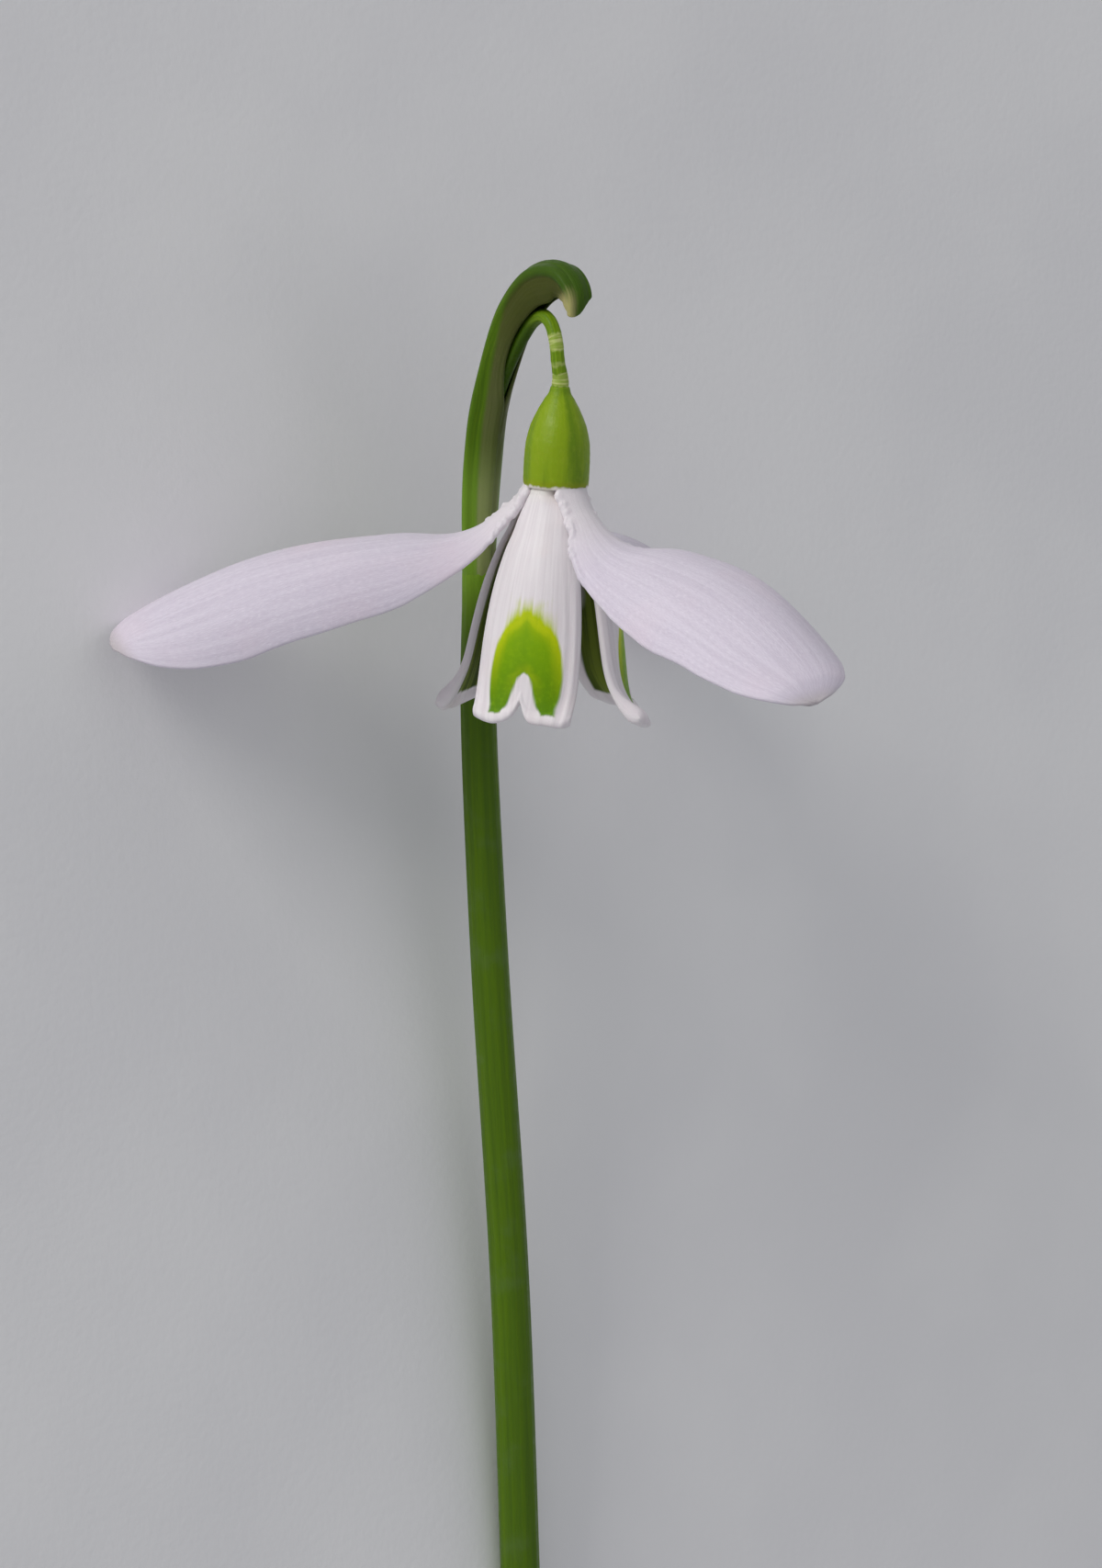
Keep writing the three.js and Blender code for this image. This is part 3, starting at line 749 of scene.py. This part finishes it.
class Material:
    """A material in the making. Most methods add one node and return its output."""

    def __init__(self, name, **constants):
        self.made = bpy.data.materials.new(name)
        self.made.use_nodes = True
        self.tree = self.made.node_tree
        self.shader = self.tree.nodes["Principled BSDF"]
        for key, value in constants.items():
            self.shader.inputs[key.replace("_", " ")].default_value = value

    def add(self, kind, values, **settings):
        node = self.tree.nodes.new("ShaderNode" + kind)
        for key, value in settings.items():
            setattr(node, key, value)
        for key, value in values.items():
            self.join(value, node.inputs[key])
        return node

    def join(self, value, socket):
        if isinstance(value, bpy.types.NodeSocket):
            self.tree.links.new(value, socket)
        else:
            socket.default_value = value

    def field(self, name):
        return self.add("Attribute", {}, attribute_name=name).outputs["Fac"]

    def place(self, *scale):
        vector = self.add("Attribute", {}, attribute_name="place").outputs["Vector"]
        if not scale:
            return self.add("SeparateXYZ", {0: vector}).outputs
        return self.add("VectorMath", {0: vector, 1: scale}, operation="MULTIPLY").outputs[0]

    def noise(self, vector, scale=1.0, detail=2.0):
        return self.add("TexNoise", {"Vector": vector, "Scale": scale, "Detail": detail}).outputs["Fac"]

    def speckle(self, size, detail=2.0):
        """Noise in space, with features of a size in millimetres."""
        space = self.add("TexCoord", {}).outputs["Object"]
        return self.noise(space, 1 / (size * MM), detail)

    def ramp(self, value, low, high, start=0.0, end=1.0):
        values = {"Value": value, "From Min": low, "From Max": high, "To Min": start, "To Max": end}
        return self.add("MapRange", values, interpolation_type="SMOOTHSTEP").outputs[0]

    def sum(self, a, b):
        return self.add("Math", {0: a, 1: b}, operation="ADD").outputs[0]

    def times(self, a, b):
        return self.add("Math", {0: a, 1: b}, operation="MULTIPLY").outputs[0]

    def over(self, a, b):
        return self.add("Math", {0: a, 1: b}, operation="DIVIDE").outputs[0]

    def band(self, value, low, high, soft):
        rising = self.ramp(value, low - soft, low + soft)
        falling = self.ramp(value, high - soft, high + soft, 1.0, 0.0)
        return self.times(rising, falling)

    def mix(self, share, a, b):
        return self.add("Mix", {0: share, 6: a, 7: b}, data_type="RGBA").outputs[2]

    def finish(self, colour, roughness, *bumps):
        """bumps are (height, size in millimetres)."""
        self.join(colour, self.shader.inputs["Base Color"])
        self.join(roughness, self.shader.inputs["Roughness"])
        normal = None
        for height, size in bumps:
            bump = self.add("Bump", {"Height": height, "Distance": size * MM})
            if normal:
                self.join(normal, bump.inputs["Normal"])
            normal = bump.outputs["Normal"]
        self.join(normal, self.shader.inputs["Normal"])
        return self.made


PETAL_FLESH = dict(
    Subsurface_Weight=0.4,
    Subsurface_Scale=0.7 * MM,
    Subsurface_Radius=(1, 0.9, 0.95),
    IOR=1.4,
    Specular_IOR_Level=0.2,
)
GREEN_FLESH = dict(
    Subsurface_Weight=0.3,
    Subsurface_Scale=0.5 * MM,
    Subsurface_Radius=(0.6, 1, 0.25),
    IOR=1.4,
    Specular_IOR_Level=0.22,
)
OVARY_GLOSS = 0.4


def petal_material():
    light, dull, blush = display(219, 212, 225), display(209, 201, 215), display(220, 205, 217)
    vein, glint_cell, dark_cell = display(202, 194, 209), display(236, 231, 240), display(196, 188, 203)
    claw, tip = display(233, 227, 230), display(178, 172, 168)
    m = Material("petal", **PETAL_FLESH)
    along = m.place()[1]
    streak = m.noise(m.place(17, 3, 1), detail=4)
    fine = m.noise(m.place(60, 9, 1), detail=2)
    cells = m.noise(m.place(96, 70, 1), detail=2)
    # The darker streaks are painted shade between the ribs.
    colour = m.mix(m.ramp(streak, 0.3, 0.7), light, dull)
    colour = m.mix(m.ramp(fine, 0.45, 0.8, 0, 0.15), colour, vein)
    colour = m.mix(m.ramp(m.speckle(7), 0.45, 0.75, 0, 0.5), colour, blush)
    # The light cell flecks are painted glints of cells catching the light.
    colour = m.mix(m.ramp(cells, 0.5, 0.72, 0, 0.4), colour, glint_cell)
    colour = m.mix(m.ramp(cells, 0.5, 0.3, 0, 0.3), colour, dark_cell)
    colour = m.mix(m.ramp(along, 0.24, 0.04, 0, 0.8), colour, claw)
    colour = m.mix(m.ramp(along, 0.955, 1, 0, 0.6), colour, tip)
    return m.finish(
        colour,
        m.ramp(m.speckle(0.5), 0.3, 0.7, 0.4, 0.56),
        (m.times(streak, m.ramp(along, 0.1, 0.4, 0.4, 1.0)), 0.02),
        (m.times(fine, m.ramp(along, 0.1, 0.4, 0.15, 1.0)), 0.014),
        (cells, 0.01),
        (m.speckle(0.16), 0.016),
    )


def inner_petal_material():
    light, dull = display(237, 231, 234), display(228, 221, 225)
    cream, foot = display(234, 223, 222), display(224, 228, 190)
    mark_edge, mark_top, mark_middle = display(188, 204, 10), display(172, 196, 0), display(130, 172, 0)
    mark_end, mark_fleck = display(96, 142, 0), display(146, 184, 8)
    lining_dark, lining_light = display(58, 76, 0), display(112, 128, 34)
    m = Material("inner_petal", **PETAL_FLESH)
    _, along, face = m.place()
    streak = m.noise(m.place(15, 2.4, 1), detail=3)
    fine = m.noise(m.place(48, 6, 1), detail=2)
    white = m.mix(m.ramp(streak, 0.32, 0.7), light, dull)
    white = m.mix(m.ramp(m.speckle(3), 0.5, 0.8, 0, 0.5), white, cream)
    white = m.mix(m.ramp(along, 0.1, 0.0, 0, 0.25), white, foot)

    # The mark's edge is frayed by the streaks and soft at its top, and crisp further down
    outside = m.ramp(face, -0.3, 0.3)
    fray = m.ramp(along, 0.66, 0.47, 0.25, 1.9)
    soft = m.ramp(along, 0.64, 0.5, 0.11, 0.75)
    edge = m.sum(m.field("mark"), m.times(m.sum(streak, -0.5), fray))
    mask = m.ramp(m.over(edge, soft), -1, 1)

    mark = m.mix(m.ramp(along, 0.54, 0.68), mark_top, mark_middle)
    mark = m.mix(m.ramp(m.over(edge, soft), 1, 7.5), mark_edge, mark)
    mark = m.mix(m.ramp(along, 0.62, 0.95), mark, mark_end)
    mark = m.mix(m.ramp(m.speckle(0.35), 0.45, 0.75, 0, 0.3), mark, mark_fleck)
    lining = m.mix(m.ramp(m.noise(m.place(11, 0.6, 1)), 0.42, 0.62), lining_dark, lining_light)
    green = m.mix(outside, lining, mark)
    return m.finish(
        m.mix(mask, white, green),
        m.ramp(m.speckle(0.5), 0.3, 0.7, 0.36, 0.5),
        (m.times(streak, m.ramp(along, 0, 0.5, 0.5, 1.0)), 0.016),
        (m.times(fine, m.ramp(along, 0, 0.5, 0.2, 1.0)), 0.01),
        (m.speckle(0.14), 0.014),
    )


def spathe_material():
    skin_light, skin_dull, shaded_skin_above = display(96, 103, 58), display(84, 92, 46), display(62, 68, 8)
    skin_foot, skin_pale = display(84, 112, 24), display(131, 142, 88)
    band_light, band_dull, shaded_band_above = display(84, 116, 8), display(68, 100, 4), display(56, 84, 16)
    band_pale, shaded_inner_face, dry_tip = display(104, 140, 36), display(48, 74, 12), display(172, 166, 110)
    m = Material("spathe", **GREEN_FLESH)
    across, along, face = m.place()
    green_band = m.field("green")
    streak = m.noise(m.place(26, 3, 1), detail=3)
    thin = m.mix(m.ramp(streak, 0.3, 0.7), skin_light, skin_dull)
    # The thin skin darkens towards the hook: painted shade.
    thin = m.mix(m.ramp(along, 0.4, 0.75, 0, 0.8), thin, shaded_skin_above)
    thin = m.mix(m.ramp(along, 0.1, 0.45, 0.7, 0), thin, skin_foot)
    green = m.mix(m.ramp(streak, 0.3, 0.7), band_light, band_dull)
    # The keel bands darken towards the hook: painted shade.
    green = m.mix(m.ramp(along, 0.62, 0.88, 0, 0.8), green, shaded_band_above)
    pale_stretch = m.ramp(along, 0.36, 0.18)
    thin = m.mix(pale_stretch, thin, skin_pale)
    green = m.mix(pale_stretch, green, band_pale)
    colour = m.mix(m.ramp(m.sum(green_band, m.times(m.sum(streak, -0.5), 16.0)), -9, 9), thin, green)
    # The inner face is painted darker green: painted shade inside the sheath.
    colour = m.mix(m.ramp(face, -0.3, 0.3, 0.7, 0), colour, shaded_inner_face)
    at_tip = m.ramp(m.sum(along, m.times(streak, 0.05)), 0.955, 0.995)
    flaps = m.sum(m.ramp(across, 0.12, 0.45), m.ramp(across, -0.6, -0.85))
    colour = m.mix(m.times(at_tip, flaps), colour, dry_tip)
    return m.finish(
        colour,
        m.ramp(m.speckle(0.6), 0.3, 0.7, 0.4, 0.56),
        (streak, 0.03),
        (m.speckle(0.18), 0.015),
    )


def scape_material():
    dull, light, dark = display(74, 104, 18), display(86, 118, 10), display(64, 96, 22)
    bloom, near_cut, pale_and_lit_near_sheath = display(96, 120, 72), display(150, 168, 84), display(108, 144, 34)
    pith_pale, pith_green, rind = display(196, 208, 142), display(148, 172, 84), display(84, 118, 32)
    m = Material("scape", **GREEN_FLESH)
    _, _, distance = m.place()
    cut = m.field("cut")
    streak = m.noise(m.place(3.4, 3.4, 0.05), detail=4)
    fine = m.noise(m.place(11, 11, 0.5), detail=2)
    colour = m.mix(m.ramp(streak, 0.3, 0.7), dull, light)
    colour = m.mix(m.ramp(fine, 0.5, 0.8, 0, 0.25), colour, dark)
    colour = m.mix(m.ramp(m.speckle(2.4, 4), 0.52, 0.72, 0, 0.25), colour, bloom)
    colour = m.mix(m.ramp(distance, 12, 0, 0, 0.35), colour, near_cut)
    # Lighter towards the sheath: partly the stem's paler top, partly painted light that lifts the shadow the
    # petals cast there.
    colour = m.mix(m.ramp(distance, SCAPE_LENGTH - 8, SCAPE_LENGTH - 1), colour, pale_and_lit_near_sheath)
    pith = m.mix(m.ramp(m.speckle(0.3), 0.45, 0.6), pith_pale, pith_green)
    pith = m.mix(m.ramp(cut, 1.82, 1.95), pith, rind)
    colour = m.mix(m.ramp(cut, 0.3, 0.6), colour, pith)
    return m.finish(
        colour,
        m.ramp(m.speckle(0.8), 0.3, 0.7, 0.34, 0.5),
        (streak, 0.05),
        (fine, 0.035),
        (m.speckle(0.15), 0.01),
    )


def pedicel_material():
    light, dull, shaded_in_sheath = display(122, 152, 26), display(96, 130, 16), display(58, 86, 4)
    ring_pale, ring_green = display(186, 196, 122), display(146, 168, 70)
    m = Material("pedicel", **GREEN_FLESH)
    distance = m.place()[2]
    wavy = m.sum(distance, m.times(m.sum(m.noise(m.place(1.6, 1.6, 2.2), detail=2), -0.5), 0.5))
    streak = m.noise(m.place(5, 5, 0.3), detail=3)
    colour = m.mix(m.ramp(streak, 0.35, 0.65), light, dull)
    rings = m.noise(m.place(0.4, 0.4, 5), detail=1)
    pale = m.mix(m.ramp(rings, 0.4, 0.6), ring_pale, ring_green)
    near, far = m.band(wavy, 0.35, 1.3, 0.1), m.band(wavy, 2.8, 3.9, 0.12)
    faint = m.times(m.band(wavy, 1.8, 2.05, 0.1), 0.5)
    colour = m.mix(m.sum(m.sum(near, far), faint), colour, pale)
    # Darker where it runs inside the sheath: painted shade.
    colour = m.mix(m.ramp(distance, 4.8, 8), colour, shaded_in_sheath)
    return m.finish(
        colour,
        m.ramp(m.speckle(0.5), 0.3, 0.7, 0.34, 0.48),
        (rings, 0.03),
        (m.speckle(0.12), 0.012),
    )


def ovary_material():
    dark, light, vein = display(102, 136, 0), display(134, 162, 4), display(144, 168, 30)
    fleck, near_petals, near_pedicel = display(148, 170, 44), display(138, 146, 0), display(104, 138, 0)
    rim = display(226, 222, 212)
    m = Material("ovary", **{**GREEN_FLESH, "Specular_IOR_Level": OVARY_GLOSS})
    share = m.place()[2]
    band = m.noise(m.place(1.7, 1.7, 0.7), detail=3)
    fine = m.noise(m.place(9, 9, 3), detail=2)
    colour = m.mix(m.ramp(band, 0.34, 0.66), dark, light)
    colour = m.mix(m.ramp(fine, 0.5, 0.8, 0, 0.3), colour, vein)
    colour = m.mix(m.ramp(m.speckle(0.45, 3), 0.5, 0.75, 0, 0.35), colour, fleck)
    colour = m.mix(m.ramp(share, 0.12, 0.0, 0, 0.8), colour, near_petals)
    colour = m.mix(m.ramp(share, 0.85, 1.0, 0, 0.6), colour, near_pedicel)
    uneven = m.sum(share, m.times(m.sum(m.noise(m.place(2.6, 2.6, 0)), -0.5), 0.12))
    colour = m.mix(m.ramp(uneven, 0.044, 0.014), colour, rim)
    return m.finish(
        colour,
        m.ramp(m.speckle(0.7), 0.3, 0.7, 0.4, 0.52),
        (fine, 0.02),
        (m.speckle(0.4), 0.03),
        (m.speckle(0.13), 0.014),
    )


def stamen_material():
    orange_dark, orange_light = display(226, 146, 34), display(244, 188, 78)
    pale_tip, thread = display(232, 214, 150), display(228, 232, 208)
    m = Material("stamen", **PETAL_FLESH)
    distance = m.place()[2]
    pollen = m.speckle(0.12)
    orange = m.mix(m.ramp(pollen, 0.4, 0.65), orange_dark, orange_light)
    tip = m.mix(m.ramp(distance, 7.2, 8), orange, pale_tip)
    colour = m.mix(m.ramp(distance, 1.3, 1.8), thread, tip)
    return m.finish(colour, m.ramp(pollen, 0.3, 0.7, 0.5, 0.75), (pollen, 0.03))


def style_material():
    foot, tip, streaked = display(192, 208, 132), display(232, 234, 208), display(176, 196, 112)
    m = Material("style", **PETAL_FLESH)
    streak = m.noise(m.place(4, 4, 0.4))
    colour = m.mix(m.ramp(m.place()[2], 2, 8), foot, tip)
    colour = m.mix(m.ramp(streak, 0.4, 0.7, 0, 0.3), colour, streaked)
    return m.finish(colour, m.ramp(m.speckle(0.3), 0.3, 0.7, 0.4, 0.55), (streak, 0.02))


def floor_material():
    light, dull = display(247, 246, 247), display(241, 240, 242)
    m = Material("floor")
    mottle = m.speckle(30, 4)
    grain = m.speckle(0.6, 3)
    colour = m.mix(m.ramp(mottle, 0.35, 0.65), light, dull)
    return m.finish(colour, m.ramp(grain, 0.3, 0.7, 0.7, 0.85), (grain, 0.02))


# The pieces

petal = petal_material()
for seed, (node, shape) in enumerate(OUTER_TEPALS.items()):
    piece(node, outer_tepal(seed, **shape), petal)
inner_petal = inner_petal_material()
for seed, (node, shape) in enumerate(INNER_TEPALS.items()):
    piece(node, inner_tepal(seed, **shape), inner_petal)
anther = stamen_material()
for number in range(STAMEN_COUNT):
    piece(f"stamen_{number + 1}", stamen(number), anther)
piece("style", style(), style_material())
piece("ovary", ovary(), ovary_material())
piece("scape", scape(), scape_material(), in_flower=False)
piece("spathe", spathe(), spathe_material(), in_flower=False)
piece("pedicel", pedicel(), pedicel_material(), in_flower=False)


# Floor, camera and light

FLOOR_HALF = 3  # metres
FLOOR_BELOW = 0.00002  # metres, so that it doesn't share a plane with the flats that rest on it
SENSOR = 36  # millimetres, along the image's longer side
SKY_COLOUR = display(236, 238, 242)


def floor():
    near, far, height = -FLOOR_HALF, FLOOR_HALF, -FLOOR_BELOW
    mesh = bpy.data.meshes.new("floor")
    corners = [(near, near, height), (far, near, height), (far, far, height), (near, far, height)]
    mesh.from_pydata(corners, [], [(0, 1, 2, 3)])
    mesh.materials.append(floor_material())
    made = bpy.data.objects.new("floor", mesh)
    bpy.context.scene.collection.objects.link(made)


def looking(right, up, forward, place):
    """The matrix of a camera or lamp, from plant directions and a plant point in millimetres."""
    axes = TO_TABLE @ np.array([right, up, -np.asarray(forward)]).T
    matrix = Matrix.Identity(4)
    for row in range(3):
        matrix[row][:3] = axes[row]
        matrix[row][3] = (TO_TABLE @ place + ORIGIN)[row] * MM
    return matrix


# Where the petals' foot is in the image, for each unit of distance
aside = (FOOT_PIXEL[0] - IMAGE[0] / 2) / FOCAL
above = (IMAGE[1] / 2 - FOOT_PIXEL[1]) / FOCAL
tilt = LOOKING_DOWN + math.atan(above)
RIGHT = np.array([1.0, 0.0, 0.0])
IMAGE_UP = np.array([0.0, math.cos(tilt), -math.sin(tilt)])
FORWARD = np.array([0.0, -math.sin(tilt), -math.cos(tilt)])


def camera():
    data = bpy.data.cameras.new("camera")
    data.sensor_width = SENSOR
    data.lens = FOCAL / max(IMAGE) * SENSOR
    data.clip_start = 0.01
    data.clip_end = 50
    made = bpy.data.objects.new("camera", data)
    place = -DISTANCE * (aside * RIGHT + above * IMAGE_UP + FORWARD)
    made.matrix_world = looking(RIGHT, IMAGE_UP, FORWARD, place)
    bpy.context.scene.collection.objects.link(made)
    bpy.context.scene.camera = made


def lamp(name, right, up, nearer, distance, size, power, colour):
    """A square soft lamp, turned to the flower.

    It stands at a distance, in metres, in a direction that is given as the camera sees it: how far right of,
    above and nearer than the flower."""
    towards = unit(right * RIGHT + up * IMAGE_UP - nearer * FORWARD)
    side = unit(np.cross(-towards, IMAGE_UP))
    data = bpy.data.lights.new(name, "AREA")
    data.size = size
    data.energy = power
    data.color = colour
    made = bpy.data.objects.new(name, data)
    made.matrix_world = looking(side, np.cross(side, -towards), -towards, towards * distance / MM)
    bpy.context.scene.collection.objects.link(made)


def sky(brightness):
    world = bpy.data.worlds.new("studio")
    world.use_nodes = True
    background = world.node_tree.nodes["Background"]
    background.inputs["Color"].default_value = SKY_COLOUR
    background.inputs["Strength"].default_value = brightness
    bpy.context.scene.world = world


floor()
camera()
lamp("key", right=-0.75, up=0.75, nearer=0.85, distance=0.8, size=0.35, power=4.5, colour=(1, 0.98, 0.95))
lamp("fill", right=0.9, up=0.1, nearer=0.8, distance=1.0, size=0.7, power=0.15, colour=(0.95, 0.97, 1))
sky(brightness=0.46)
bpy.context.scene.view_settings.view_transform = "Standard"
